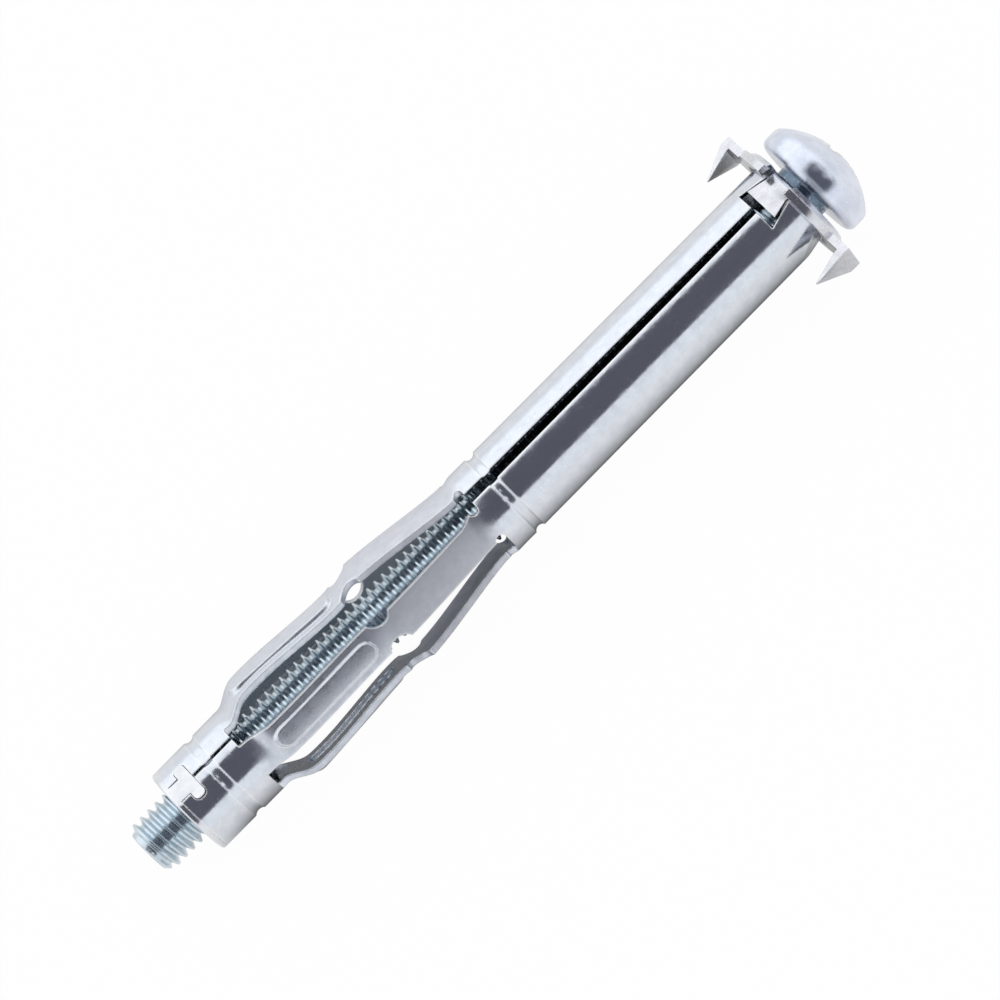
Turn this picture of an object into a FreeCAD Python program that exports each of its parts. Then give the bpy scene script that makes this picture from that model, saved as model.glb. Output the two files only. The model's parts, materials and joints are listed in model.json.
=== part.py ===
import FreeCAD, Part
import math
import os

# Metal hollow wall anchor: a slotted sleeve rolled from sheet, a nut hooked into its far end,
# a flange plate with two prongs at the wall, and a long pan head screw through all of them.
# Lengths are millimetres. While a piece is modelled, X is the anchor's axis with the screw head
# towards +X, X = 0 is the face of the flange plate that meets the wall, and +Z is the seam of the
# rolled sleeve. Angles round the axis are counted from the seam towards +Y.
# At the end the whole anchor is laid down on its flange and its two lower legs.

# Rolled sleeve
sheet = 0.70
rim_taper = 0.10
barrel_length = 42.0
leg_length = 32.3
collar_length = 7.65
seam_gap_at_slots = 1.25
seam_gap_at_rim = 0.75
seam_gap_at_collar = 0.35

# Grooves rolled round the sleeve, above and below its slots
barrel_groove_from_slots = 2.9
barrel_groove_width = 1.15
barrel_groove_depth = 0.34
collar_groove_from_slots = 3.2
collar_groove_width = 1.2
collar_groove_depth = 0.25

# Legs between the slots, with places counted from their foot at the collar
front_leg_angle = 38.2
rear_leg_angle = 132.5
leg_width = 4.0
flare_start = 1.1
bulge_at = 3.4
bulge_rise = 1.06
elbow_at = 16.4
elbow_rise = 0.275
kink_length = 2.5
top_run = 1.6
top_dip = 0.15
bend_share = 0.42
flat_crown = 0.02
crown_fade = 1.7

# Notches in the legs' edges
elbow_notch_from_elbow = 1.6
elbow_notch_span = 2.6
elbow_notch_depth = 0.92
relief_radius = 0.55
relief_depth = 0.5

# Stiffening rib pressed outwards in each lower leg
rib_lead = 0.2
rib_stop = 0.5
rib_crest_width = 2.1
rib_height = 0.45
rib_slope = 0.5

# Flats pressed into the barrel beside the flange
press_angle = 104.0
press_length = 2.9
press_clearance = 0.32

# Flange plate
plate_sheet = 0.85
plate_radius = 6.75
plate_lip = 0.40
dish_height = 0.55
dish_slope_run = 0.60
dish_seat_gap = 0.60
plate_hole_gap = 0.40

# Prongs of the flange plate
ear_half_width = 2.1
ear_overlap = 0.2
prong_reach = 9.05
prong_bend = 0.80
prong_neck = 0.15
prong_length = 3.75
prong_lean = 0.72
prong_fold = 0.45
prong_tip_width = 0.25
prong_tip_fold = 0.02
crease_end = 0.45
ridge_end = -0.15

# Lugs of the flange plate and their notches in the sleeve's rim
plate_lug_root = 2.9
plate_lug_end = 3.95
plate_lug_length = 2.25
plate_lug_bend = 0.15
plate_lug_relief = 0.35
plate_lug_tie = 0.2
plate_notch_root = 3.4
plate_notch_end = 4.9
plate_notch_depth = 3.15
rim_seat_gap = 0.30

# Nut and its hooks
nut_disc = 0.62
nut_disc_round = 0.28
nut_length = 5.6
nut_wall = 0.855
nut_boss_gap = 0.12
hook_neck_width = 1.95
hook_neck_length = 1.25
hook_head_width = 4.0
hook_head_length = 1.25
hook_corner = 0.45
hook_gap = 0.07
thread_gap = 0.05

# Screw
shank_radius = 2.95
screw_length = 90.0
tip_chamfer = 0.7
head_radius = 6.05
head_height = 4.75
head_dome_radius = 8.4
head_top_round = 1.2
head_foot_round = 0.75
head_lift = 0.95

# Cross recess in the head
recess_depth = 2.9
recess_span = 6.6
recess_floor_span = 3.2
recess_width = 1.25
recess_floor_width = 0.9
recess_floor_core = 1.0

# How far a cutter runs past the faces that it cuts
overrun = 1.0

# Places along the axis
dish_top = dish_height + plate_sheet
rim_x = dish_height - rim_seat_gap
slot_top_x = rim_x - barrel_length
slot_foot_x = slot_top_x - leg_length
foot_x = slot_foot_x - collar_length
nut_low_x = foot_x - nut_disc
head_x = dish_top + head_lift
head_top_x = head_x + head_height
tip_x = head_x - screw_length

# Sizes that follow: the sleeve's bore takes the nut, whose bore takes the screw
nut_bore_radius = shank_radius + thread_gap
nut_boss_radius = nut_bore_radius + nut_wall
bore_radius = nut_boss_radius + nut_boss_gap + collar_groove_depth
barrel_radius = bore_radius + sheet
rim_radius = barrel_radius - rim_taper
half_leg = leg_width / 2
chord_reach = math.sqrt(barrel_radius ** 2 - half_leg ** 2)
tube_crown = barrel_radius - chord_reach
wall_at_leg_edge = chord_reach - math.sqrt(bore_radius ** 2 - half_leg ** 2)
bulge_reach = barrel_radius + bulge_rise
elbow_reach = barrel_radius + elbow_rise
press_depth = rim_radius - sheet - shank_radius - press_clearance
lug_room = plate_lug_root / 2 + plate_lug_relief
far = 3 * prong_reach

origin = FreeCAD.Vector(0, 0, 0)
along_x = FreeCAD.Vector(1, 0, 0)
along_y = FreeCAD.Vector(0, 1, 0)
along_z = FreeCAD.Vector(0, 0, 1)


def side_point(x, radius):
    """Point of a side view, over the seam."""
    return FreeCAD.Vector(x, 0, radius)


def line(start, end):
    return Part.LineSegment(start, end).toShape()


def arc(start, middle, end):
    return Part.Arc(start, middle, end).toShape()


def closed_lines(points):
    return Part.makePolygon(points + [points[0]])


def revolved(outline):
    """Solid made by turning a closed side view once round the axis."""
    return Part.Face(outline).revolve(origin, along_x, 360)


def turned(shape, angle):
    """Copy of a shape built over the seam, moved round the axis towards +Y."""
    copy = shape.copy()
    copy.rotate(origin, along_x, -angle)
    return copy


def block(x_low, x_high, half_y, z_low, z_high):
    """Box that is centred across the seam."""
    corner = FreeCAD.Vector(x_low, -half_y, z_low)
    return Part.makeBox(x_high - x_low, 2 * half_y, z_high - z_low, corner)


def disc_at(x, length, radius):
    return Part.makeCylinder(radius, length, FreeCAD.Vector(x, 0, 0), along_x)


def radial_post(x, y, radius):
    """Round cutter that points away from the axis, over the seam."""
    return Part.makeCylinder(radius, far, FreeCAD.Vector(x, y, 0), along_z)


def grooved_tube(x_low, x_high, radius_low, radius_high, groove_x, groove_width, groove_depth):
    """Rolled wall of even thickness with one groove pressed inwards round it."""

    def radius_at(x):
        return radius_low + (radius_high - radius_low) * (x - x_low) / (x_high - x_low)

    def wall_points(inset):
        left = groove_x - groove_width / 2
        right = groove_x + groove_width / 2
        return [
            side_point(x_low, radius_low - inset),
            side_point(left, radius_at(left) - inset),
            side_point(groove_x, radius_at(groove_x) - groove_depth - inset),
            side_point(right, radius_at(right) - inset),
            side_point(x_high, radius_high - inset),
        ]

    outer = wall_points(0)
    inner = wall_points(sheet)
    outline = Part.Wire([
        line(outer[0], outer[1]),
        arc(outer[1], outer[2], outer[3]),
        line(outer[3], outer[4]),
        line(outer[4], inner[4]),
        line(inner[4], inner[3]),
        arc(inner[3], inner[2], inner[1]),
        line(inner[1], inner[0]),
        line(inner[0], outer[0]),
    ])
    return revolved(outline)


def leg_line():
    """A leg's side view as (distance from its foot, distance of its face from the axis).

    The sheet runs straight from corner to corner, and each corner is a short even bend.
    """
    corners = [
        (0, chord_reach),
        (flare_start, chord_reach),
        (bulge_at, bulge_reach),
        (elbow_at, elbow_reach),
        (elbow_at + kink_length, bulge_reach),
        (leg_length - top_run, chord_reach - top_dip),
        (leg_length, chord_reach),
    ]
    stations = [corners[0]]
    for before, here, after in zip(corners, corners[1:], corners[2:]):
        run_in = here[0] - before[0]
        run_out = after[0] - here[0]
        room = bend_share * min(run_in, run_out)
        entry = here[1] - room * (here[1] - before[1]) / run_in
        leave = here[1] + room * (after[1] - here[1]) / run_out
        stations.append((here[0] - room, entry))
        stations.append((here[0], (entry + 2 * here[1] + leave) / 4))
        stations.append((here[0] + room, leave))
    stations.append(corners[-1])
    return stations


def leg_section(x, reach, crown):
    """Cross-section of a leg, bowed by the crown between its edges."""
    inner_reach = reach - sheet - (wall_at_leg_edge - sheet) * crown / tube_crown
    outer_left = FreeCAD.Vector(x, -half_leg, reach)
    outer_middle = FreeCAD.Vector(x, 0, reach + crown)
    outer_right = FreeCAD.Vector(x, half_leg, reach)
    inner_left = FreeCAD.Vector(x, -half_leg, inner_reach)
    inner_middle = FreeCAD.Vector(x, 0, reach + crown - sheet)
    inner_right = FreeCAD.Vector(x, half_leg, inner_reach)
    return Part.Wire([
        arc(outer_left, outer_middle, outer_right),
        line(outer_right, inner_right),
        arc(inner_right, inner_middle, inner_left),
        line(inner_left, outer_left),
    ])


def leg_strip():
    """Leg that leaves the round wall, flattens, and bulges on both sides of its elbow."""
    sections = []
    for distance, reach in leg_line():
        from_end = min(distance, leg_length - distance)
        crown = max(flat_crown, tube_crown * (1 - from_end / crown_fade))
        sections.append(leg_section(slot_foot_x + distance, reach, crown))
    return Part.makeLoft(sections, True)


def leg_layer(lift):
    """One sheet's thickness that follows a leg's outer face, its top at a lift from that face."""
    low = [side_point(slot_foot_x + distance, reach + lift - sheet) for distance, reach in leg_line()]
    high = [side_point(slot_foot_x + distance, reach + lift) for distance, reach in leg_line()]
    under = Part.BSplineCurve()
    under.interpolate(low)
    over = Part.BSplineCurve()
    over.interpolate(high)
    outline = Part.Wire([under.toShape(), line(low[-1], high[-1]), over.toShape(), line(high[0], low[0])])
    layer = Part.Face(outline).extrude(2 * far * along_y)
    layer.translate(-far * along_y)
    return layer


def stadium(start, end, width, z):
    """Long outline with half-round ends, from start to end along X at height z."""
    half = width / 2
    left = start + half
    right = end - half
    return Part.Wire([
        line(FreeCAD.Vector(left, half, z), FreeCAD.Vector(right, half, z)),
        arc(FreeCAD.Vector(right, half, z), FreeCAD.Vector(end, 0, z), FreeCAD.Vector(right, -half, z)),
        line(FreeCAD.Vector(right, -half, z), FreeCAD.Vector(left, -half, z)),
        arc(FreeCAD.Vector(left, -half, z), FreeCAD.Vector(start, 0, z), FreeCAD.Vector(left, half, z)),
    ])


def rib_bar(inset, lift):
    """Bar with sloping sides that lies along a leg between its first bulge and its elbow."""
    start = inset - rib_lead
    end = elbow_at - bulge_at - rib_stop - inset
    width = rib_crest_width - 2 * inset
    base_depth = 2 * sheet
    grow = rib_slope * (rib_height + base_depth)
    base = stadium(start - grow, end + grow, width + 2 * grow, -base_depth)
    crest = stadium(start, end, width, rib_height)
    bar = Part.makeLoft([base, crest], True, True)
    bar.rotate(origin, along_y, math.degrees(math.atan2(bulge_reach - elbow_reach, elbow_at - bulge_at)))
    bar.translate(side_point(slot_foot_x + bulge_at, bulge_reach))
    return bar.common(leg_layer(lift))


def leg():
    strip = leg_strip()
    strip = strip.fuse(rib_bar(0, rib_height))
    strip = strip.cut(rib_bar(sheet, rib_height - sheet))
    notch_radius = (elbow_notch_span ** 2 / 4 + elbow_notch_depth ** 2) / (2 * elbow_notch_depth)
    notch_x = slot_foot_x + elbow_at + elbow_notch_from_elbow
    notch_y = half_leg - elbow_notch_depth + notch_radius
    for side in (-1, 1):
        strip = strip.cut(radial_post(notch_x, side * notch_y, notch_radius))
    return strip


def relief_posts():
    """Round reliefs at the top of the slots on both sides of a leg."""
    relief_y = half_leg + relief_radius - relief_depth
    return [radial_post(slot_top_x - relief_radius, side * relief_y, relief_radius) for side in (-1, 1)]


def seam_slits():
    """Slits left open where the sheet's edges meet, above and below the slots."""
    low_x = slot_top_x - overrun
    high_x = rim_x + overrun
    outline = closed_lines([
        FreeCAD.Vector(low_x, -seam_gap_at_slots / 2, 0),
        FreeCAD.Vector(low_x, seam_gap_at_slots / 2, 0),
        FreeCAD.Vector(high_x, seam_gap_at_rim / 2, 0),
        FreeCAD.Vector(high_x, -seam_gap_at_rim / 2, 0),
    ])
    barrel_slit = Part.Face(outline).extrude(far * along_z)
    collar_slit = block(foot_x - overrun, slot_foot_x + overrun, seam_gap_at_collar / 2, 0, far)
    return [barrel_slit, collar_slit]


def hook_outline(gap):
    """T-shaped tongue over the seam that stands on the sleeve's foot, grown on every side by a gap."""
    neck_top = foot_x + hook_neck_length
    neck = block(foot_x - nut_disc / 2, neck_top + hook_corner, hook_neck_width / 2 + gap, 0, far)
    head = block(neck_top - gap, neck_top + hook_head_length + gap, hook_head_width / 2 + gap, 0, far)
    upright = [edge for edge in head.Edges if edge.BoundBox.ZLength > far / 2]
    return neck.fuse(head.makeFillet(hook_corner + gap, upright))


def dovetail(root, end, length):
    """Tongue over the seam that widens below the sleeve's rim."""
    high_x = dish_top + overrun
    low_x = rim_x - length
    outline = closed_lines([
        FreeCAD.Vector(high_x, -root / 2, 0),
        FreeCAD.Vector(high_x, root / 2, 0),
        FreeCAD.Vector(rim_x, root / 2, 0),
        FreeCAD.Vector(low_x, end / 2, 0),
        FreeCAD.Vector(low_x, -end / 2, 0),
        FreeCAD.Vector(rim_x, -root / 2, 0),
    ])
    return Part.Face(outline).extrude(far * along_z)


def press_flats(barrel):
    """Flattens the barrel's wall on two sides, deeper towards the rim."""
    start_x = rim_x - press_length
    slope = math.degrees(math.atan2(press_depth, press_length))
    cutter = Part.makeBox(press_length + 2 * overrun, 2 * far, far, -far * along_y)
    wall = Part.makeBox(press_length + 2 * overrun, 2 * far, sheet, -far * along_y - sheet * along_z)
    for tool in (cutter, wall):
        tool.rotate(origin, along_y, slope)
        tool.translate(side_point(start_x, rim_radius))
    inside = disc_at(start_x, press_length, rim_radius - sheet / 2)
    flat = wall.common(inside).common(block(start_x, rim_x, far, 0, far))
    for angle in (press_angle, -press_angle):
        barrel = barrel.cut(turned(cutter, angle)).fuse(turned(flat, angle))
    return barrel


def sleeve():
    """The rolled sheet in one piece: barrel, four legs and collar."""
    barrel = grooved_tube(slot_top_x, rim_x, barrel_radius, rim_radius,
                          slot_top_x + barrel_groove_from_slots, barrel_groove_width, barrel_groove_depth)
    collar = grooved_tube(foot_x, slot_foot_x, barrel_radius, barrel_radius,
                          slot_foot_x - collar_groove_from_slots, collar_groove_width, collar_groove_depth)
    angles = [front_leg_angle, rear_leg_angle, -rear_leg_angle, -front_leg_angle]
    strip = leg()
    body = press_flats(barrel).multiFuse([turned(strip, angle) for angle in angles] + [collar])
    cutters = seam_slits()
    for angle in angles:
        cutters += [turned(post, angle) for post in relief_posts()]
    for angle in (0, 180):
        cutters.append(turned(hook_outline(hook_gap), angle))
        cutters.append(turned(dovetail(plate_notch_root, plate_notch_end, plate_notch_depth), angle))
    return body.cut(cutters)


def nut():
    """Threaded bush with a disc under the sleeve and two hooks bent up into its wall."""
    disc = disc_at(nut_low_x, nut_disc, barrel_radius)
    low_edge = [edge for edge in disc.Edges if abs(edge.CenterOfMass.x - nut_low_x) < nut_disc / 2]
    low_rim = [edge for edge in low_edge if edge.Length > barrel_radius]
    disc = disc.makeFillet(nut_disc_round, low_rim)
    boss = disc_at(nut_low_x, nut_length, nut_boss_radius)
    solid = disc.fuse(boss)
    wall_length = nut_disc / 2 + hook_neck_length + hook_head_length
    wall = disc_at(foot_x - nut_disc / 2, wall_length, barrel_radius)
    wall = wall.cut(disc_at(foot_x - nut_disc / 2, wall_length, bore_radius))
    for angle in (0, 180):
        solid = solid.fuse(wall.common(turned(hook_outline(0), angle)))
    return solid.cut(disc_at(nut_low_x - overrun, nut_length + 2 * overrun, nut_bore_radius))


def dished_disc():
    """Round flange with its middle pressed up towards the head."""
    hole_radius = shank_radius + plate_hole_gap
    floor_radius = rim_radius + dish_seat_gap
    slope_radius = plate_radius - plate_lip
    outline = closed_lines([
        side_point(dish_height, hole_radius),
        side_point(dish_height, floor_radius - dish_slope_run / 2),
        side_point(0, floor_radius),
        side_point(0, plate_radius),
        side_point(plate_sheet, plate_radius),
        side_point(plate_sheet, slope_radius),
        side_point(dish_top, slope_radius - dish_slope_run),
        side_point(dish_top, hole_radius),
    ])
    return revolved(outline)


def bent_strip(underside_x, bend_radius, root, reach, foot_x_low):
    """Side view of plate that runs outwards from root and turns down towards the far end."""
    outer_radius = bend_radius + plate_sheet
    centre_x = underside_x - bend_radius
    centre_z = reach - outer_radius

    def on_bend(radius, degrees):
        turn = math.radians(degrees)
        return side_point(centre_x + radius * math.cos(turn), centre_z + radius * math.sin(turn))

    return Part.Wire([
        line(side_point(underside_x, root), on_bend(bend_radius, 0)),
        arc(on_bend(bend_radius, 0), on_bend(bend_radius, 45), on_bend(bend_radius, 90)),
        line(on_bend(bend_radius, 90), side_point(foot_x_low, reach - plate_sheet)),
        line(side_point(foot_x_low, reach - plate_sheet), side_point(foot_x_low, reach)),
        line(side_point(foot_x_low, reach), on_bend(outer_radius, 90)),
        arc(on_bend(outer_radius, 90), on_bend(outer_radius, 45), on_bend(outer_radius, 0)),
        line(on_bend(outer_radius, 0), side_point(underside_x + plate_sheet, root)),
        line(side_point(underside_x + plate_sheet, root), side_point(underside_x, root)),
    ])


def folded_section(x, reach, half_width, fold):
    """Section of a tooth with a crease pressed in along its outer face."""
    return closed_lines([
        FreeCAD.Vector(x, half_width, reach),
        FreeCAD.Vector(x, 0, reach - fold),
        FreeCAD.Vector(x, -half_width, reach),
        FreeCAD.Vector(x, -half_width, reach - plate_sheet),
        FreeCAD.Vector(x, 0, reach - fold - plate_sheet),
        FreeCAD.Vector(x, half_width, reach - plate_sheet),
    ])


def crease_bar(start_x, start_z, end_x, end_z, height):
    """Wedge that stands on the line of a crease, as steep as the tooth's fold."""
    half = height * ear_half_width / prong_fold

    def section(x, z):
        return closed_lines([
            FreeCAD.Vector(x, 0, z),
            FreeCAD.Vector(x, half, z + height),
            FreeCAD.Vector(x, -half, z + height),
        ])

    return Part.makeLoft([section(start_x, start_z), section(end_x, end_z)], True, True)


def prong():
    """Ear of the flange that is bent down into a creased, pointed tooth."""
    root = math.sqrt(plate_radius ** 2 - ear_half_width ** 2) - ear_overlap
    neck_x = -prong_bend - prong_neck
    outer_radius = prong_bend + plate_sheet
    centre_z = prong_reach - outer_radius
    ear = Part.Face(bent_strip(0, prong_bend, root, prong_reach, neck_x)).extrude(2 * ear_half_width * along_y)
    ear.translate(-ear_half_width * along_y)
    crease_z = centre_z + math.sqrt(outer_radius ** 2 - (crease_end + prong_bend) ** 2)
    ridge_z = centre_z + math.sqrt(prong_bend ** 2 - (ridge_end + prong_bend) ** 2)
    crease = crease_bar(neck_x, prong_reach - prong_fold, crease_end, crease_z, 2 * prong_fold)
    ridge = crease_bar(neck_x, prong_reach - prong_fold - plate_sheet, ridge_end, ridge_z, prong_fold)
    tooth = Part.makeLoft([
        folded_section(neck_x, prong_reach, ear_half_width, prong_fold),
        folded_section(-prong_length, prong_reach - prong_lean, prong_tip_width / 2, prong_tip_fold),
    ], True, True)
    return ear.cut(crease).fuse([ridge, tooth])


def plate_lug():
    """Tongue bent down from the dish into the notch of the sleeve's rim."""
    bend_room = plate_lug_bend + plate_sheet
    root = rim_radius - bend_room - plate_lug_tie
    outline = bent_strip(dish_height, plate_lug_bend, root, rim_radius, rim_x - plate_lug_length)
    return revolved(outline).common(dovetail(plate_lug_root, plate_lug_end, plate_lug_length))


def flange_plate():
    """Dished plate with two prongs for the wall and two lugs for the sleeve."""
    plate = dished_disc()
    for angle in (90, -90):
        plate = plate.fuse(turned(prong(), angle))
    room_floor = rim_radius - plate_lug_bend - plate_sheet - plate_lug_tie / 2
    room = block(-overrun, dish_top + overrun, lug_room, room_floor, far)
    for angle in (0, 180):
        plate = plate.cut(turned(room, angle)).fuse(turned(plate_lug(), angle))
    return plate


def cross_recess():
    """Driver recess of four tapering wings round a cone."""
    floor_x = head_top_x - recess_depth

    def wing_section(x, span, width):
        return closed_lines([
            FreeCAD.Vector(x, -span / 2, -width / 2),
            FreeCAD.Vector(x, span / 2, -width / 2),
            FreeCAD.Vector(x, span / 2, width / 2),
            FreeCAD.Vector(x, -span / 2, width / 2),
        ])

    wing = Part.makeLoft([
        wing_section(floor_x, recess_floor_span, recess_floor_width),
        wing_section(head_top_x, recess_span, recess_width),
    ], True, True)
    core = Part.makeCone(recess_floor_core, recess_floor_span / 2, recess_depth,
                         FreeCAD.Vector(floor_x, 0, 0), along_x)
    return wing.fuse([turned(wing, 90), core])


def pan_head():
    """Flat-bottomed head with a low dome and rounded rims."""
    dome_centre = head_top_x - head_dome_radius
    side_top = dome_centre + math.sqrt(head_dome_radius ** 2 - head_radius ** 2)
    dome_middle = dome_centre + math.sqrt(head_dome_radius ** 2 - head_radius ** 2 / 4)
    head = revolved(Part.Wire([
        line(side_point(head_x, 0), side_point(head_x, head_radius)),
        line(side_point(head_x, head_radius), side_point(side_top, head_radius)),
        arc(side_point(side_top, head_radius), side_point(dome_middle, head_radius / 2),
            side_point(head_top_x, 0)),
        line(side_point(head_top_x, 0), side_point(head_x, 0)),
    ]))
    for rim_at, radius in ((side_top, head_top_round), (head_x, head_foot_round)):
        rim = [edge for edge in head.Edges
               if edge.BoundBox.XLength < overrun and abs(edge.CenterOfMass.x - rim_at) < 0.1
               and edge.Length > 6 * head_radius]
        head = head.makeFillet(radius, rim)
    return head


def screw():
    shank = disc_at(tip_x, screw_length, shank_radius)
    tip_edge = [edge for edge in shank.Edges if abs(edge.CenterOfMass.x - tip_x) < tip_chamfer]
    shank = shank.makeChamfer(tip_chamfer, tip_edge)
    return pan_head().fuse(shank).cut(cross_recess())


def lay_down(shapes):
    """Rests the anchor on the flange's lower edge and on the first bulge of its two lower legs."""
    flange_drop = math.sqrt(plate_radius ** 2 - lug_room ** 2)
    lower_leg = [(reach, distance) for distance, reach in leg_line() if distance < elbow_at]
    widest_reach, widest_at = max(lower_leg)
    lean = math.radians(rear_leg_angle)
    leg_drop = half_leg * math.sin(lean) - widest_reach * math.cos(lean)
    slope = math.degrees(math.atan2(flange_drop - leg_drop, -slot_foot_x - widest_at))
    box = FreeCAD.BoundBox()
    for shape in shapes:
        shape.rotate(origin, along_y, -slope)
        box.add(shape.optimalBoundingBox(False, False))
    shift = FreeCAD.Vector(-box.Center.x, -box.Center.y, -box.ZMin)
    for shape in shapes:
        shape.translate(shift)
    print("axis rises towards the head by", round(slope, 4), "degrees")
    print("axis meets the wall face at", [round(value, 4) for value in shift])


pieces = {
    "screw": screw(),
    "sleeve": sleeve(),
    "nut": nut(),
    "flange_plate": flange_plate(),
}
pieces = {name: shape.removeSplitter() for name, shape in pieces.items()}
lay_down(pieces.values())
os.makedirs("parts", exist_ok=True)
for name, shape in pieces.items():
    print(name, len(shape.Solids), "solid", round(shape.Volume, 2), "mm3")
    shape.Solids[0].exportStep(f"parts/{name}.step")
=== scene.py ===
import json
import math

import bmesh
import bpy
from mathutils import Matrix, Vector


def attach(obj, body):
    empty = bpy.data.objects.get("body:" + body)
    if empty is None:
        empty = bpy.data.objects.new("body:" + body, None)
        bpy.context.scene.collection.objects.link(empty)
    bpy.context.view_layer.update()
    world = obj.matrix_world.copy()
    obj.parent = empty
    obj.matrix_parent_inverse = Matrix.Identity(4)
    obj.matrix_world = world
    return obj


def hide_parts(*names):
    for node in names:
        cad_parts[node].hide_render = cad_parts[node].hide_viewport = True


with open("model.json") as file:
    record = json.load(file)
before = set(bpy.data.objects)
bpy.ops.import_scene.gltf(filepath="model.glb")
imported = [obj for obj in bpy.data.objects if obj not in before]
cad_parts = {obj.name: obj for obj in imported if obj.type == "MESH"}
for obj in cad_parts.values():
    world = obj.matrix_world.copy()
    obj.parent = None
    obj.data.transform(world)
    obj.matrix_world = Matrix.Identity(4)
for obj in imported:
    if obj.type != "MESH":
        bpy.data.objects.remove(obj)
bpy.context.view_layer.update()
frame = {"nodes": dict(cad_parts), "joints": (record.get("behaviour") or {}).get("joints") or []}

# The anchor lies with its axis a little off level: its own frame has X from tip to head along
# the screw's joint axis, x = 0 at the wall face of the flange and Z through the sleeve's seam.
screwJoint = frame["joints"][0]
wallCentre = Vector(screwJoint["pos_m"])
towardsHead = -Vector(screwJoint["axis"]).normalized()
sideways = Vector((0, 1, 0))
throughSeam = towardsHead.cross(sideways)
anchorAxes = Matrix((towardsHead, sideways, throughSeam)).transposed().to_4x4()
anchorToWorld = Matrix.Translation(wallCentre) @ anchorAxes
worldToAnchor = anchorToWorld.inverted()


def addNode(tree, kind, values=None, **settings):
    node = tree.nodes.new("ShaderNode" + kind)
    for setting, value in settings.items():
        setattr(node, setting, value)
    for socket, value in (values or {}).items():
        if isinstance(value, bpy.types.NodeSocket):
            tree.links.new(value, node.inputs[socket])
        else:
            node.inputs[socket].default_value = value
    return node


def newGroup(name, inputs, outputs):
    tree = bpy.data.node_groups.new(name, "ShaderNodeTree")
    for socketName, value in inputs.items():
        kind = "NodeSocketVector" if isinstance(value, tuple) else "NodeSocketFloat"
        socket = tree.interface.new_socket(socketName, in_out="INPUT", socket_type=kind)
        socket.default_value = value
    for socketName, kind in outputs.items():
        tree.interface.new_socket(socketName, in_out="OUTPUT", socket_type="NodeSocket" + kind)
    given = tree.nodes.new("NodeGroupInput")
    result = tree.nodes.new("NodeGroupOutput")
    return tree, given.outputs, result.inputs


def placeGroup(tree, group, values):
    return addNode(tree, "Group", values, node_tree=group)


def addMath(tree, operation, first, second=0.0):
    return addNode(tree, "Math", {0: first, 1: second}, operation=operation).outputs[0]


def addRamp(tree, value, start, end, low=0.0, high=1.0, kind="LINEAR"):
    limits = {"Value": value, "From Min": start, "From Max": end, "To Min": low, "To Max": high}
    return addNode(tree, "MapRange", limits, interpolation_type=kind).outputs[0]


def mixColours(tree, share, first, second, blend="MIX"):
    # each colour is a socket or three plain values
    first, second = (value if isinstance(value, bpy.types.NodeSocket) else (*value, 1)
                     for value in (first, second))
    return addNode(tree, "Mix", {0: share, 6: first, 7: second}, data_type="RGBA",
                   blend_type=blend).outputs[2]


# How the plating breaks up and where an edge counts as one, the same for all four pieces; no lengths
plating = {
    "cloudDetail": 4.0,
    "cloudRoughness": 0.6,
    "cloudFrom": 0.32,
    "cloudTo": 0.68,
    "cloudHeight": 0.6,
    "fleckDetail": 2.0,
    "fleckRoughness": 0.55,
    "fleckLimit": 0.85,
    "fleckFade": 0.1,
    "fleckHeight": 0.4,
    "lineDetail": 3.0,
    "lineRoughness": 0.65,
    "lineFrom": 0.35,
    "lineTo": 0.65,
    "edgeFrom": 0.995,
    "edgeTo": 0.85,
    "edgeSamples": 4,
}


def buildPlatingGrain(look):
    # cloudy zinc crystals with finer flecks between them
    tree, given, result = newGroup(
        "platingGrain",
        {"Clouds per Metre": 900.0, "Flecks per Metre": 6000.0, "Fleck Share": 0.3},
        {"Cloud": "Float", "Fleck": "Float", "Height": "Float"},
    )
    place = addNode(tree, "TexCoord").outputs["Object"]
    cloud = addNode(tree, "TexNoise", {
        "Vector": place, "Scale": given["Clouds per Metre"],
        "Detail": look["cloudDetail"], "Roughness": look["cloudRoughness"],
    }).outputs[0]
    fleck = addNode(tree, "TexNoise", {
        "Vector": place, "Scale": given["Flecks per Metre"],
        "Detail": look["fleckDetail"], "Roughness": look["fleckRoughness"],
    }).outputs[0]
    fleckEdge = addMath(tree, "SUBTRACT", look["fleckLimit"], given["Fleck Share"])
    fleckTop = addMath(tree, "ADD", fleckEdge, look["fleckFade"])
    height = addMath(tree, "ADD", addMath(tree, "MULTIPLY", cloud, look["cloudHeight"]),
                     addMath(tree, "MULTIPLY", fleck, look["fleckHeight"]))
    tree.links.new(addRamp(tree, cloud, look["cloudFrom"], look["cloudTo"]), result["Cloud"])
    tree.links.new(addRamp(tree, fleck, fleckEdge, fleckTop), result["Fleck"])
    tree.links.new(height, result["Height"])
    return tree


def buildRollMarks(look):
    # fine lines that the drawing and rolling of the sheet leave along the anchor
    tree, given, result = newGroup(
        "rollMarks",
        {"Lines per Metre": 5000.0, "Length Share": 0.02},
        {"Line": "Float"},
    )
    parts = addNode(tree, "SeparateXYZ", {0: addNode(tree, "TexCoord").outputs["Object"]})
    along = addMath(tree, "MULTIPLY", parts.outputs[0], given["Length Share"])
    stretched = addNode(tree, "CombineXYZ", {0: along, 1: parts.outputs[1], 2: parts.outputs[2]})
    lines = addNode(tree, "TexNoise", {
        "Vector": stretched.outputs[0], "Scale": given["Lines per Metre"],
        "Detail": look["lineDetail"], "Roughness": look["lineRoughness"],
    })
    tree.links.new(lines.outputs[0], result["Line"])
    return tree


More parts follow.
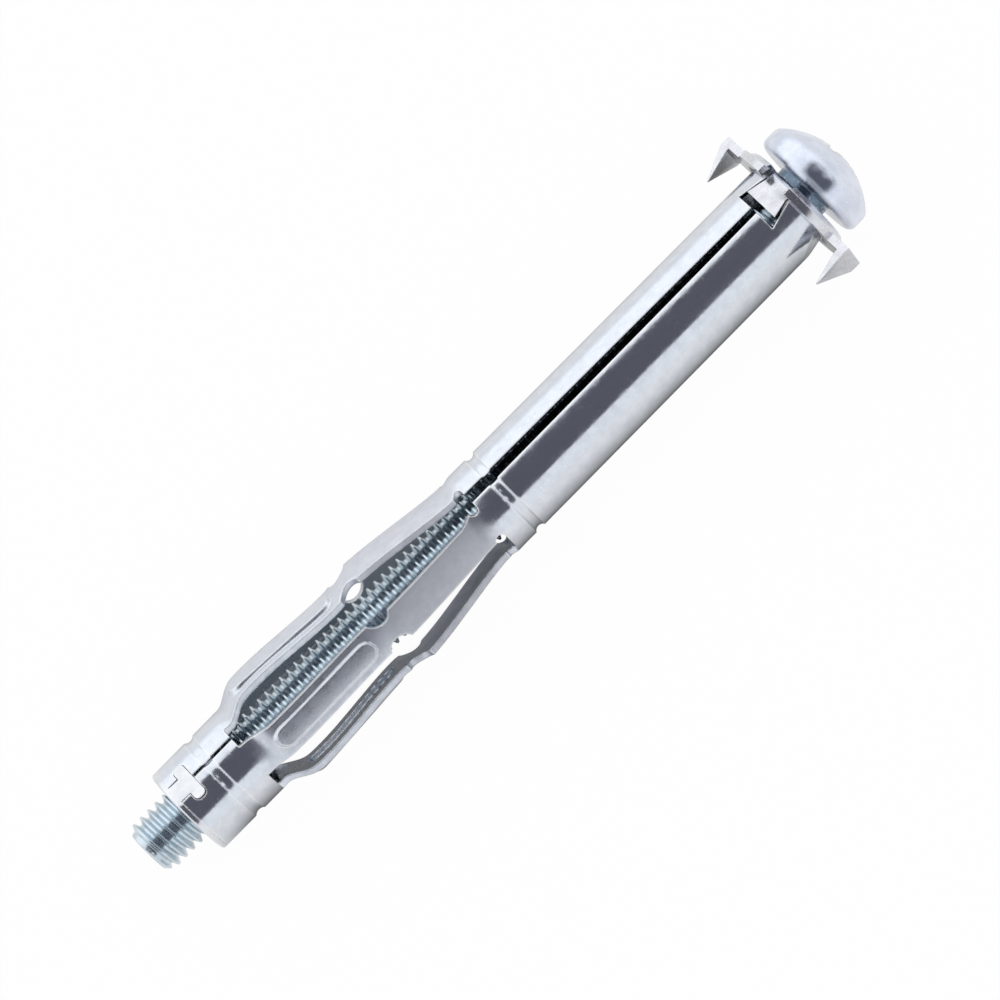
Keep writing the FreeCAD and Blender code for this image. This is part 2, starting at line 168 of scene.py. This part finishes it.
def buildSoftEdge(look):
    # rounds the look of every sheared or cut edge, and tells where the edges are
    tree, given, result = newGroup(
        "softEdge",
        {"Radius": 0.0001},
        {"Normal": "Vector", "Edge": "Float"},
    )
    rounded = addNode(tree, "Bevel", {"Radius": given["Radius"]}, samples=look["edgeSamples"])
    plain = addNode(tree, "NewGeometry")
    facing = addNode(tree, "VectorMath", {0: rounded.outputs[0], 1: plain.outputs["Normal"]},
                     operation="DOT_PRODUCT").outputs["Value"]
    tree.links.new(rounded.outputs[0], result["Normal"])
    tree.links.new(addRamp(tree, facing, look["edgeFrom"], look["edgeTo"]), result["Edge"])
    return tree


def buildLengthZone():
    # tells which part of the anchor's length a point is in
    tree, given, result = newGroup(
        "lengthZone",
        {"Start": 0.0, "End": 0.01, "Fade": 0.001},
        {"Inside": "Float"},
    )
    place = addNode(tree, "SeparateXYZ", {0: addNode(tree, "TexCoord").outputs["Object"]}).outputs[0]
    rising = addRamp(tree, place, given["Start"], addMath(tree, "ADD", given["Start"], given["Fade"]))
    falling = addRamp(tree, place, given["End"], addMath(tree, "SUBTRACT", given["End"], given["Fade"]))
    tree.links.new(addMath(tree, "MULTIPLY", rising, falling), result["Inside"])
    return tree


def buildSheetCurl():
    # flattened sheet keeps a little of the tube's curl, so its face shades as if bowed round the axis
    tree, given, result = newGroup(
        "sheetCurl",
        {"Normal": (0.0, 0.0, 1.0), "Curl": 0.5},
        {"Normal": "Vector"},
    )

    def vectorMath(operation, first, second=(0.0, 0.0, 0.0)):
        return addNode(tree, "VectorMath", {0: first, 1: second}, operation=operation)

    def scaled(vector, factor):
        return addNode(tree, "VectorMath", {0: vector, "Scale": factor}, operation="SCALE").outputs[0]

    place = addNode(tree, "TexCoord").outputs["Object"]
    offset = vectorMath("SUBTRACT", place, tuple(wallCentre)).outputs[0]
    along = vectorMath("DOT_PRODUCT", offset, tuple(towardsHead)).outputs["Value"]
    outwards = vectorMath("SUBTRACT", offset, scaled(tuple(towardsHead), along)).outputs[0]
    radial = vectorMath("NORMALIZE", outwards).outputs[0]
    facing = vectorMath("DOT_PRODUCT", given["Normal"], radial).outputs["Value"]
    signedSquare = addMath(tree, "MULTIPLY", facing, addMath(tree, "ABSOLUTE", facing))
    weight = addMath(tree, "MULTIPLY", signedSquare, given["Curl"])
    bowed = vectorMath("NORMALIZE", vectorMath("ADD", given["Normal"], scaled(radial, weight)).outputs[0])
    tree.links.new(bowed.outputs[0], result["Normal"])
    return tree


platingGrain = buildPlatingGrain(plating)
rollMarks = buildRollMarks(plating)
softEdge = buildSoftEdge(plating)
lengthZone = buildLengthZone()
sheetCurl = buildSheetCurl()
print("plating groups are ready")


def buildZincFinish(name, finish):
    material = bpy.data.materials.new(name)
    material.use_nodes = True
    tree = material.node_tree
    shader = tree.nodes["Principled BSDF"]
    grain = placeGroup(tree, platingGrain, {
        "Clouds per Metre": finish["cloudsPerMetre"],
        "Flecks per Metre": finish["flecksPerMetre"],
        "Fleck Share": finish["fleckShare"],
    }).outputs
    line = placeGroup(tree, rollMarks, {
        "Lines per Metre": finish["linesPerMetre"],
        "Length Share": finish["lineLengthShare"],
    }).outputs["Line"]
    zones = []  # each zone with the mask that tells where it is
    for zone in finish["zones"]:
        limits = {"Start": zone["start"], "End": zone["end"], "Fade": zone["fade"]}
        zones.append((zone, placeGroup(tree, lengthZone, limits).outputs["Inside"]))

    radius = addMath(tree, "ADD", finish["edgeRadius"])
    for zone, inside in zones:
        radius = addMath(tree, "ADD", radius, addMath(tree, "MULTIPLY", inside, zone["addedRadius"]))
    edge = placeGroup(tree, softEdge, {"Radius": radius}).outputs
    curled = placeGroup(tree, sheetCurl, {"Normal": edge["Normal"], "Curl": finish["curl"]})

    colour = mixColours(tree, grain["Cloud"], finish["brightColour"], finish["dullColour"])
    colour = mixColours(tree, grain["Fleck"], colour, finish["fleckColour"])
    # every sheared or cut edge is lightened towards the edge colour: a painted highlight along the edges
    colour = mixColours(tree, edge["Edge"], colour, finish["edgeHighlightColour"])
    for zone, inside in zones:
        colour = mixColours(tree, inside, colour, zone["tint"], blend="MULTIPLY")
    tree.links.new(colour, shader.inputs["Base Color"])

    roughness = addMath(
        tree, "ADD",
        addRamp(tree, grain["Cloud"], 0.0, 1.0, finish["smoothRoughness"], finish["dullRoughness"]),
        addRamp(tree, line, plating["lineFrom"], plating["lineTo"], 0.0, finish["lineRoughness"]))
    roughness = addMath(tree, "ADD", roughness,
                        addMath(tree, "MULTIPLY", grain["Fleck"], finish["fleckRoughness"]))
    for zone, inside in zones:
        roughness = addMath(tree, "ADD", roughness,
                            addMath(tree, "MULTIPLY", inside, zone["addedRoughness"]))
    rubbed = addMath(tree, "MULTIPLY", edge["Edge"], finish["edgeShine"])
    roughness = addMath(tree, "MULTIPLY", roughness, addMath(tree, "SUBTRACT", 1.0, rubbed))
    tree.links.new(roughness, shader.inputs["Roughness"])

    grainBump = addNode(tree, "Bump", {
        "Strength": 1.0, "Distance": finish["grainDepth"],
        "Height": grain["Height"], "Normal": curled.outputs["Normal"],
    })
    lineBump = addNode(tree, "Bump", {
        "Strength": 1.0, "Distance": finish["lineDepth"],
        "Height": line, "Normal": grainBump.outputs[0],
    })
    tree.links.new(lineBump.outputs[0], shader.inputs["Normal"])
    shader.inputs["Metallic"].default_value = 1.0
    return material


samePoint = 1e-7  # points nearer than this, in metres, are one


def copyInAnchorFrame(nodeName):
    bm = bmesh.new()
    bm.from_mesh(frame["nodes"][nodeName].data)
    bmesh.ops.transform(bm, matrix=worldToAnchor, verts=bm.verts[:])
    bmesh.ops.remove_doubles(bm, verts=bm.verts[:], dist=samePoint)
    return bm


def cutAway(bm, planePoint, outwards, tolerance=samePoint):
    # takes away what lies beyond a plane, and leaves the cut open
    bmesh.ops.bisect_plane(bm, geom=bm.verts[:] + bm.edges[:] + bm.faces[:], dist=tolerance,
                           plane_co=planePoint, plane_no=outwards, clear_outer=True)


def closeCuts(bm):
    bmesh.ops.holes_fill(bm, edges=[edge for edge in bm.edges if edge.is_boundary], sides=0)


def showPiece(mesh, pieceName, nodeName, body):
    # the visible piece that stands for one node
    piece = bpy.data.objects.new(pieceName, mesh)
    bpy.context.scene.collection.objects.link(piece)
    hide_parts(nodeName)
    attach(piece, body)
    print(pieceName, "has", len(mesh.polygons), "faces")


def finishMesh(bm, pieceName, materials, sharpAngle):
    # smooth faces with sharp edges, then back from the anchor's frame to the world
    for face in bm.faces:
        face.smooth = True
    for edge in bm.edges:
        edge.smooth = edge.calc_face_angle(0.0) < math.radians(sharpAngle)
    bmesh.ops.transform(bm, matrix=anchorToWorld, verts=bm.verts[:])
    mesh = bpy.data.meshes.new(pieceName)
    bm.to_mesh(mesh)
    bm.free()
    for material in materials:
        mesh.materials.append(material)
    return mesh


# Rolled sleeve. Places and lengths are metres, angles are degrees round the axis from the seam.
# A zone is a stretch along X with its own tint and roughness: the legs, and their upper halves.
sleevePiece = {
    "taper": {  # the front leg on the lens side is narrower towards the barrel, at its edge by the seam
        "outerAngle": -62.2,
        "seamAngle": -6.0,
        "places": [-0.0741, -0.0706, -0.0576, -0.0551, -0.0440, -0.0427],
        "widthShares": [1.0, 0.92, 0.91, 0.87, 0.84, 1.0],
    },
    "finish": {
        "brightColour": (0.80, 0.83, 0.88),
        "dullColour": (0.72, 0.75, 0.81),
        "fleckColour": (0.88, 0.90, 0.93),
        "edgeHighlightColour": (1.0, 1.0, 1.0),
        "cloudsPerMetre": 900.0,
        "flecksPerMetre": 3200.0,
        "fleckShare": 0.20,
        "linesPerMetre": 2600.0,
        "lineLengthShare": 0.03,
        "edgeShine": 0.8,
        "edgeRadius": 0.00026,
        "curl": 0.55,
        "smoothRoughness": 0.07,
        "dullRoughness": 0.17,
        "lineRoughness": 0.03,
        "fleckRoughness": 0.08,
        "grainDepth": 0.000007,
        "lineDepth": 0.0000012,
        "zones": [
            {"start": -0.0340, "end": -0.0010, "fade": 0.0015, "addedRadius": 0.0,
             "tint": (0.94, 0.94, 0.95), "addedRoughness": 0.15},
            {"start": -0.0180, "end": 0.0000, "fade": 0.0060, "addedRadius": 0.0,
             "tint": (1.0, 0.98, 0.97), "addedRoughness": 0.24},
        ],
    },
}


def widthShareAt(x, taper):
    places = taper["places"]
    shares = taper["widthShares"]
    for start, end, first, last in zip(places, places[1:], shares, shares[1:]):
        if start <= x <= end:
            return first + (last - first) * (x - start) / (end - start)
    return 1.0


def buildSleeve(piece):
    taper = piece["taper"]
    outerAngle = taper["outerAngle"]
    mesh = frame["nodes"]["sleeve"].data.copy()
    mesh.name = "taperedSleeve"
    for vertex in mesh.vertices:
        x, y, z = worldToAnchor @ vertex.co
        angle = math.degrees(math.atan2(y, z))
        inSlots = taper["places"][0] < x < taper["places"][-1]
        if inSlots and outerAngle < angle < taper["seamAngle"]:
            turned = math.radians(outerAngle + (angle - outerAngle) * widthShareAt(x, taper))
            radius = math.hypot(y, z)
            moved = Vector((x, radius * math.sin(turned), radius * math.cos(turned)))
            vertex.co = anchorToWorld @ moved
    mesh.materials.clear()
    mesh.materials.append(buildZincFinish("sleeveZinc", piece["finish"]))
    showPiece(mesh, "taperedSleeve", "sleeve", "shell")


buildSleeve(sleevePiece)


def flattenTongues(bm, tongues):
    # tongues bent up from a flat blank stay flat where the sleeve is round
    thickness = tongues["thickness"]
    middle = tongues["outerRadius"] - thickness / 2
    for vertex in bm.verts:
        x, y, z = vertex.co
        radius = math.hypot(y, z)
        inSheet = middle - thickness < radius < middle + thickness
        if tongues["fromX"] < x < tongues["toX"] and abs(y) < tongues["halfWidth"] and inSheet:
            height = tongues["outerHeight"] - (thickness if radius < middle else 0.0)
            vertex.co.z = math.copysign(height, z)


# Nut with its two hooks, the brightest of the four pieces; lengths in metres
nutPiece = {
    "sharpAngle": 35.0,
    "tongues": {
        "fromX": -0.0816,
        "toX": -0.0780,
        "outerRadius": 0.004925,
        "outerHeight": 0.00471,
        "thickness": 0.0007,
        "halfWidth": 0.0022,
    },
    "finish": {
        "brightColour": (0.84, 0.85, 0.87),
        "dullColour": (0.74, 0.75, 0.78),
        "fleckColour": (0.90, 0.90, 0.92),
        "edgeHighlightColour": (0.92, 0.92, 0.94),
        "cloudsPerMetre": 800.0,
        "flecksPerMetre": 5000.0,
        "fleckShare": 0.24,
        "linesPerMetre": 2600.0,
        "lineLengthShare": 0.1,
        "edgeShine": 0.4,
        "edgeRadius": 0.00012,
        "curl": 0.0,
        "smoothRoughness": 0.10,
        "dullRoughness": 0.19,
        "lineRoughness": 0.03,
        "fleckRoughness": 0.10,
        "grainDepth": 0.000006,
        "lineDepth": 0.0000008,
        "zones": [],
    },
}


def buildNut(piece):
    bm = copyInAnchorFrame("nut")
    flattenTongues(bm, piece["tongues"])
    nutZinc = buildZincFinish("nutZinc", piece["finish"])
    mesh = finishMesh(bm, "hookedNut", [nutZinc], piece["sharpAngle"])
    showPiece(mesh, "hookedNut", "nut", "shell")


buildNut(nutPiece)


# Flange plate, pressed from thicker and a little rougher sheet; lengths in metres.
# Each ear of the solid is cut off at the root, and its prong is folded down at the reach.
flangePiece = {
    "sharpAngle": 35.0,
    "tongues": {
        "fromX": -0.0030,
        "toX": 0.00035,
        "outerRadius": 0.004825,
        "outerHeight": 0.00461,
        "thickness": 0.00085,
        "halfWidth": 0.0022,
    },
    "prongs": {
        "root": 0.00735,
        "reach": 0.00870,
        "sheet": 0.00085,
        "halfWidth": 0.0021,
        "fold": 0.00045,
        "neckX": -0.00030,
        "tipX": -0.00365,
        "tipReach": 0.00800,
        "tipSheet": 0.00010,
        "tipHalfWidth": 0.00005,
    },
    "finish": {
        "brightColour": (0.80, 0.81, 0.84),
        "dullColour": (0.66, 0.66, 0.70),
        "fleckColour": (0.86, 0.86, 0.88),
        "edgeHighlightColour": (0.90, 0.90, 0.92),
        "cloudsPerMetre": 900.0,
        "flecksPerMetre": 5600.0,
        "fleckShare": 0.28,
        "linesPerMetre": 3000.0,
        "lineLengthShare": 0.2,
        "edgeShine": 0.4,
        "edgeRadius": 0.00012,
        "curl": 0.0,
        "smoothRoughness": 0.11,
        "dullRoughness": 0.20,
        "lineRoughness": 0.03,
        "fleckRoughness": 0.12,
        "grainDepth": 0.000008,
        "lineDepth": 0.0000008,
        "zones": [],
    },
}


def addSection(bm, outerPlace, innerPlace, fold, halfWidth, side):
    # a closed loop of six corners, whose middle ones on both faces of the sheet lie deeper by the fold
    outerX, outerY = outerPlace
    innerX, innerY = innerPlace
    places = [
        (outerX, outerY, halfWidth), (outerX, outerY - fold, 0.0), (outerX, outerY, -halfWidth),
        (innerX, innerY, -halfWidth), (innerX, innerY - fold, 0.0), (innerX, innerY, halfWidth),
    ]
    corners = [bm.verts.new((x, side * y, z)) for x, y, z in places]
    return [bm.edges.new(pair) for pair in zip(corners, corners[1:] + corners[:1])]


def addProng(bm, prongs, side, earRim):
    # from the ear's open rim over the bend and the creased neck to the tooth's tip
    reach, neckX, halfWidth = prongs["reach"], prongs["neckX"], prongs["halfWidth"]
    inside = reach - prongs["sheet"]
    tipOutside = (prongs["tipX"], prongs["tipReach"])
    tipInside = (prongs["tipX"], prongs["tipReach"] - prongs["tipSheet"])
    loops = [
        earRim,
        addSection(bm, (prongs["sheet"], reach), (0.0, inside), 0.0, halfWidth, side),
        addSection(bm, (neckX, reach), (neckX, inside), prongs["fold"], halfWidth, side),
        addSection(bm, tipOutside, tipInside, 0.0, prongs["tipHalfWidth"], side),
    ]
    for first, second in zip(loops, loops[1:]):
        bmesh.ops.bridge_loops(bm, edges=first + second)


def buildFlange(piece):
    prongs = piece["prongs"]
    bm = copyInAnchorFrame("flange_plate")
    flattenTongues(bm, piece["tongues"])
    for side in (-1, 1):
        cutAway(bm, (0, side * prongs["root"], 0), (0, side, 0))
    bmesh.ops.remove_doubles(bm, verts=bm.verts[:], dist=10 * samePoint)
    for side in (-1, 1):
        earRim = [edge for edge in bm.edges if edge.is_boundary and side * edge.verts[0].co.y > 0]
        addProng(bm, prongs, side, earRim)
    closeCuts(bm)
    bmesh.ops.recalc_face_normals(bm, faces=bm.faces[:])
    flangeZinc = buildZincFinish("flangeZinc", piece["finish"])
    mesh = finishMesh(bm, "prongedFlange", [flangeZinc], piece["sharpAngle"])
    showPiece(mesh, "prongedFlange", "flange_plate", "shell")


buildFlange(flangePiece)


# Screw with its rolled thread: lengths in metres, shares of one pitch, of the thread's depth or of
# the shank's radius. Its zinc is bluer, and the zone is the forged head, brighter and rounder.
screwPiece = {
    "pitch": 0.001,
    "threadDepth": 0.00061,
    "crestShare": 0.16,
    "crestRoundShare": 0.05,
    "crestDropShare": 0.12,
    "rootShare": 0.22,
    "stepsPerTurn": 32,
    "turnsBeforeTip": 1.5,
    "turnsToSpare": 2,
    "mergeShare": 0.002,
    "neckLength": 0.0010,
    "neckRadiusShare": 1.01,
    "headRadiusShare": 1.2,
    "tipChamfer": 0.0007,
    "sharpAngle": 38.0,
    "finish": {
        "brightColour": (0.70, 0.78, 0.83),
        "dullColour": (0.60, 0.68, 0.74),
        "fleckColour": (0.78, 0.84, 0.88),
        "edgeHighlightColour": (0.86, 0.92, 0.96),
        "cloudsPerMetre": 600.0,
        "flecksPerMetre": 4200.0,
        "fleckShare": 0.22,
        "linesPerMetre": 2200.0,
        "lineLengthShare": 0.5,
        "edgeShine": 0.4,
        "edgeRadius": 0.00006,
        "curl": 0.0,
        "smoothRoughness": 0.16,
        "dullRoughness": 0.26,
        "lineRoughness": 0.03,
        "fleckRoughness": 0.08,
        "grainDepth": 0.000005,
        "lineDepth": 0.0000006,
        "zones": [
            {"start": 0.0424, "end": 0.0500, "fade": 0.0003, "addedRadius": 0.0010,
             "tint": (1.14, 1.075, 1.13), "addedRoughness": -0.06},
        ],
    },
    # the neck's dark colours are painted shade, for the shade between the flange and the head
    "neckShadeColours": {  # the neck between the flange and the head lies in shade
        "brightColour": (0.20, 0.27, 0.35),
        "dullColour": (0.13, 0.18, 0.24),
    },
}


def measureScrew(piece):
    # the solid's own sizes, read in the anchor's frame
    points = [worldToAnchor @ vertex.co for vertex in frame["nodes"]["screw"].data.vertices]
    radii = [math.hypot(point.y, point.z) for point in points]
    tip = min(point.x for point in points)
    shankRadius = max(radius for point, radius in zip(points, radii) if point.x < tip / 2)
    headRadius = piece["headRadiusShare"] * shankRadius
    headFoot = min(point.x for point, radius in zip(points, radii) if radius > headRadius)
    return tip, shankRadius, headFoot


def threadProfile(piece, shankRadius):
    root = shankRadius - piece["threadDepth"]
    shoulder = shankRadius - piece["threadDepth"] * piece["crestDropShare"]
    rootHalf = piece["rootShare"] / 2
    crestHalf = piece["crestShare"] / 2
    roundHalf = crestHalf + piece["crestRoundShare"]
    shares = [
        (0.0, root),
        (rootHalf, root),
        (0.5 - roundHalf, shoulder),
        (0.5 - crestHalf, shankRadius),
        (0.5 + crestHalf, shankRadius),
        (0.5 + roundHalf, shoulder),
        (1 - rootHalf, root),
        (1.0, root),
    ]
    return [(share * piece["pitch"], radius) for share, radius in shares]


def buildThread(piece, tip, shankRadius, neckEnd):
    bm = bmesh.new()
    pitch = piece["pitch"]
    turns = math.ceil((neckEnd - tip) / pitch) + piece["turnsToSpare"]
    startX = tip - piece["turnsBeforeTip"] * pitch
    points = [bm.verts.new((startX + x, 0, radius)) for x, radius in threadProfile(piece, shankRadius)]
    profile = [bm.edges.new(pair) for pair in zip(points, points[1:])]
    steps = piece["stepsPerTurn"]
    bmesh.ops.spin(bm, geom=points + profile, cent=(0, 0, 0), axis=(1, 0, 0),
                   dvec=(pitch / steps, 0, 0), angle=2 * math.pi, steps=steps)
    oneTurn = bm.verts[:] + bm.edges[:] + bm.faces[:]
    for turn in range(1, turns):
        copied = bmesh.ops.duplicate(bm, geom=oneTurn)["geom"]
        moved = [item for item in copied if isinstance(item, bmesh.types.BMVert)]
        bmesh.ops.translate(bm, vec=(turn * pitch, 0, 0), verts=moved)
    mergeDistance = piece["mergeShare"] * pitch
    bmesh.ops.remove_doubles(bm, verts=bm.verts[:], dist=mergeDistance)
    for planeX, outward in ((tip, -1), (neckEnd, 1)):
        cutAway(bm, (planeX, 0, 0), (outward, 0, 0), mergeDistance / 10)
    for vertex in bm.verts:
        radius = math.hypot(vertex.co.y, vertex.co.z)
        allowed = shankRadius - piece["tipChamfer"] + (vertex.co.x - tip)
        if radius > allowed:
            vertex.co.y *= allowed / radius
            vertex.co.z *= allowed / radius
    closeCuts(bm)
    mesh = bpy.data.meshes.new("screwThread")
    bm.to_mesh(mesh)
    bm.free()
    return mesh


def buildHead(piece, shankRadius, headFoot):
    # the forged head and a short plain neck, cut from a copy of the solid; the neck is material 1,
    # coloured dark as painted shade
    bm = copyInAnchorFrame("screw")
    cutAway(bm, (headFoot - piece["neckLength"], 0, 0), (-1, 0, 0))
    closeCuts(bm)
    for face in bm.faces:
        place = face.calc_center_median()
        radius = math.hypot(place.y, place.z)
        if place.x < headFoot and radius < piece["neckRadiusShare"] * shankRadius:
            face.material_index = 1
    return bm


def buildThreadedScrew(piece):
    tip, shankRadius, headFoot = measureScrew(piece)
    bm = buildHead(piece, shankRadius, headFoot)
    thread = buildThread(piece, tip, shankRadius, headFoot - piece["neckLength"])
    bm.from_mesh(thread)
    bpy.data.meshes.remove(thread)
    bmesh.ops.recalc_face_normals(bm, faces=bm.faces[:])
    materials = [
        buildZincFinish("screwZinc", piece["finish"]),
        # the neck gets the screw's zinc with its dark colours: painted shade
        buildZincFinish("neckPaintedShade", dict(piece["finish"], **piece["neckShadeColours"])),
    ]
    mesh = finishMesh(bm, "threadedScrew", materials, piece["sharpAngle"])
    showPiece(mesh, "threadedScrew", "screw", "screw_body")


buildThreadedScrew(screwPiece)


# Studio: a pale table under even light, with a dark panel over the lens side for the metal to mirror.
# Lengths are metres, angles are degrees: across the anchor from straight up, or along it.
studio = {
    "floorSize": 3.0,
    "floorColour": (0.80, 0.80, 0.80),
    "floorGlow": 0.97,
    "floorSeen": 0.88,
    "floorShade": 0.58,
    "shadeFrom": 0.006,
    "shadeReach": 0.007,
    "shadeMost": 0.70,
    "shadeEnd": 0.044,
    "shadeFade": 0.006,
    "fillColour": (1.0, 1.0, 1.0),
    "leftColour": (1.14, 1.16, 1.18),
    "leftFrom": -30.0,
    "leftTo": 40.0,
    "rightColour": (0.88, 0.90, 0.93),
    "horizonColour": (0.85, 0.88, 0.91),
    "horizonFrom": 70.0,
    "horizonTo": 86.0,
    "panelColour": (0.100, 0.103, 0.128),
    "panelMiddle": -28.1,
    "panelHalfWidth": 30.9,
    "panelHalfLength": 46.0,
    "panelPower": 6.0,
    "panelEdge": 0.22,
    "lampColour": (1.25, 1.25, 1.25),
    "lampEdge": (1.3, 0.6),
    "lamps": [  # small lamps before the panel
        {"along": 22.0, "across": -14.0, "halfLength": 7.0, "halfWidth": 4.0},
        {"along": 34.0, "across": -38.0, "halfLength": 10.0, "halfWidth": 6.5},
    ],
}


def buildFloor(stage):
    bm = bmesh.new()
    bmesh.ops.create_grid(bm, x_segments=1, y_segments=1, size=stage["floorSize"] / 2)
    mesh = bpy.data.meshes.new("floor")
    bm.to_mesh(mesh)
    bm.free()
    floor = bpy.data.objects.new("floor", mesh)
    bpy.context.scene.collection.objects.link(floor)
    material = bpy.data.materials.new("paleFloor")
    material.use_nodes = True
    tree = material.node_tree
    tree.nodes.remove(tree.nodes["Principled BSDF"])
    diffuse = addNode(tree, "BsdfDiffuse", {"Color": (*stage["floorColour"], 1)})
    glow = addNode(tree, "Emission", {"Color": (1, 1, 1, 1), "Strength": 1.0})
    light = addNode(tree, "LightPath")
    shown = addMath(tree, "MULTIPLY", light.outputs["Is Camera Ray"], stage["floorGlow"])
    lit = addNode(tree, "MixShader", {0: shown, 1: diffuse.outputs[0], 2: glow.outputs[0]})
    # the metal sees the floor as a glow with a painted shadow: darker towards the anchor, but not at the
    # anchor's two ends
    parts = addNode(tree, "SeparateXYZ", {0: addNode(tree, "TexCoord").outputs["Object"]})
    away = addMath(tree, "SUBTRACT", addMath(tree, "ABSOLUTE", parts.outputs[1]), stage["shadeFrom"])
    fall = addMath(tree, "EXPONENT", addMath(tree, "DIVIDE", away, -stage["shadeReach"]))
    drop = addMath(tree, "MULTIPLY", fall, stage["floorShade"])
    drop = addMath(tree, "MINIMUM", drop, stage["shadeMost"])
    beside = addRamp(tree, addMath(tree, "ABSOLUTE", parts.outputs[0]),
                     stage["shadeEnd"], stage["shadeEnd"] - stage["shadeFade"])
    shade = addMath(tree, "SUBTRACT", stage["floorSeen"], addMath(tree, "MULTIPLY", drop, beside))
    mirrored = addNode(tree, "Emission", {"Color": (1, 1, 1, 1), "Strength": shade})
    mixed = addNode(tree, "MixShader", {0: light.outputs["Is Glossy Ray"], 1: lit.outputs[0],
                                        2: mirrored.outputs[0]})
    tree.links.new(mixed.outputs[0], tree.nodes["Material Output"].inputs["Surface"])
    mesh.materials.append(material)


def shareFrom(tree, degrees, middle, half):
    # how far an angle is from the middle, where 1 is the edge
    return addMath(tree, "DIVIDE", addMath(tree, "SUBTRACT", degrees, middle), half)


def buildLight(stage):
    # glossy rays meet a bright left side, a plainer right side, the dark panel and its lamps;
    # all others meet one even white
    world = bpy.data.worlds.new("studio")
    bpy.context.scene.world = world
    world.use_nodes = True
    tree = world.node_tree
    backdrop = tree.nodes["Background"]
    direction = addNode(tree, "SeparateXYZ", {0: addNode(tree, "TexCoord").outputs["Generated"]})
    across = addMath(tree, "ARCTAN2", direction.outputs[1], direction.outputs[2])
    across = addMath(tree, "MULTIPLY", across, 180 / math.pi)
    along = addMath(tree, "MULTIPLY", addMath(tree, "ARCSINE", direction.outputs[0]), 180 / math.pi)

    leftness = addRamp(tree, across, stage["leftFrom"], stage["leftTo"], kind="SMOOTHSTEP")
    sides = mixColours(tree, leftness, stage["rightColour"], stage["leftColour"])
    lowLeft = addRamp(tree, across, stage["horizonFrom"], stage["horizonTo"], kind="SMOOTHSTEP")
    sides = mixColours(tree, lowLeft, sides, stage["horizonColour"])

    corners = [
        addMath(tree, "POWER", addMath(tree, "ABSOLUTE", share), stage["panelPower"])
        for share in (shareFrom(tree, across, stage["panelMiddle"], stage["panelHalfWidth"]),
                      shareFrom(tree, along, 0.0, stage["panelHalfLength"]))
    ]
    outside = addRamp(tree, addMath(tree, "ADD", *corners), 1 - stage["panelEdge"],
                      1 + stage["panelEdge"], kind="SMOOTHSTEP")
    seen = mixColours(tree, outside, stage["panelColour"], sides)
    for lamp in stage["lamps"]:
        squares = [
            addMath(tree, "MULTIPLY", share, share)
            for share in (shareFrom(tree, along, lamp["along"], lamp["halfLength"]),
                          shareFrom(tree, across, lamp["across"], lamp["halfWidth"]))
        ]
        inLamp = addRamp(tree, addMath(tree, "ADD", *squares), *stage["lampEdge"], kind="SMOOTHSTEP")
        seen = mixColours(tree, inLamp, seen, stage["lampColour"])

    isGlossy = addNode(tree, "LightPath").outputs["Is Glossy Ray"]
    tree.links.new(mixColours(tree, isGlossy, stage["fillColour"], seen), backdrop.inputs["Color"])
    backdrop.inputs["Strength"].default_value = 1.0


# Camera as in the photograph: over the anchor, square to its axis, which rises to the upper right
photoView = {
    "distance": 0.60,
    "lens": 224.0,
    "belowSeam": 25.0,
    "imageSlope": 45.3,
    "aimFromWall": -0.0397,
    "aimAside": -0.0002,
}


def buildCamera(view):
    tilt = math.radians(view["belowSeam"])
    slope = math.radians(view["imageSlope"])
    back = Vector((0, -math.sin(tilt), math.cos(tilt)))
    along = Vector((1, 0, 0))
    across = back.cross(along)
    right = along * math.cos(slope) - across * math.sin(slope)
    up = along * math.sin(slope) + across * math.cos(slope)
    placed = Matrix((right, up, back)).transposed().to_4x4()
    aim = along * view["aimFromWall"] + across * view["aimAside"]
    placed.translation = aim + back * view["distance"]
    lens = bpy.data.cameras.new("photoCamera")
    lens.lens = view["lens"]
    camera = bpy.data.objects.new("photoCamera", lens)
    bpy.context.scene.collection.objects.link(camera)
    camera.matrix_world = anchorToWorld @ placed
    bpy.context.scene.camera = camera


buildFloor(studio)
buildLight(studio)
buildCamera(photoView)
bpy.context.scene.view_settings.view_transform = "Standard"
print("studio and camera are ready")
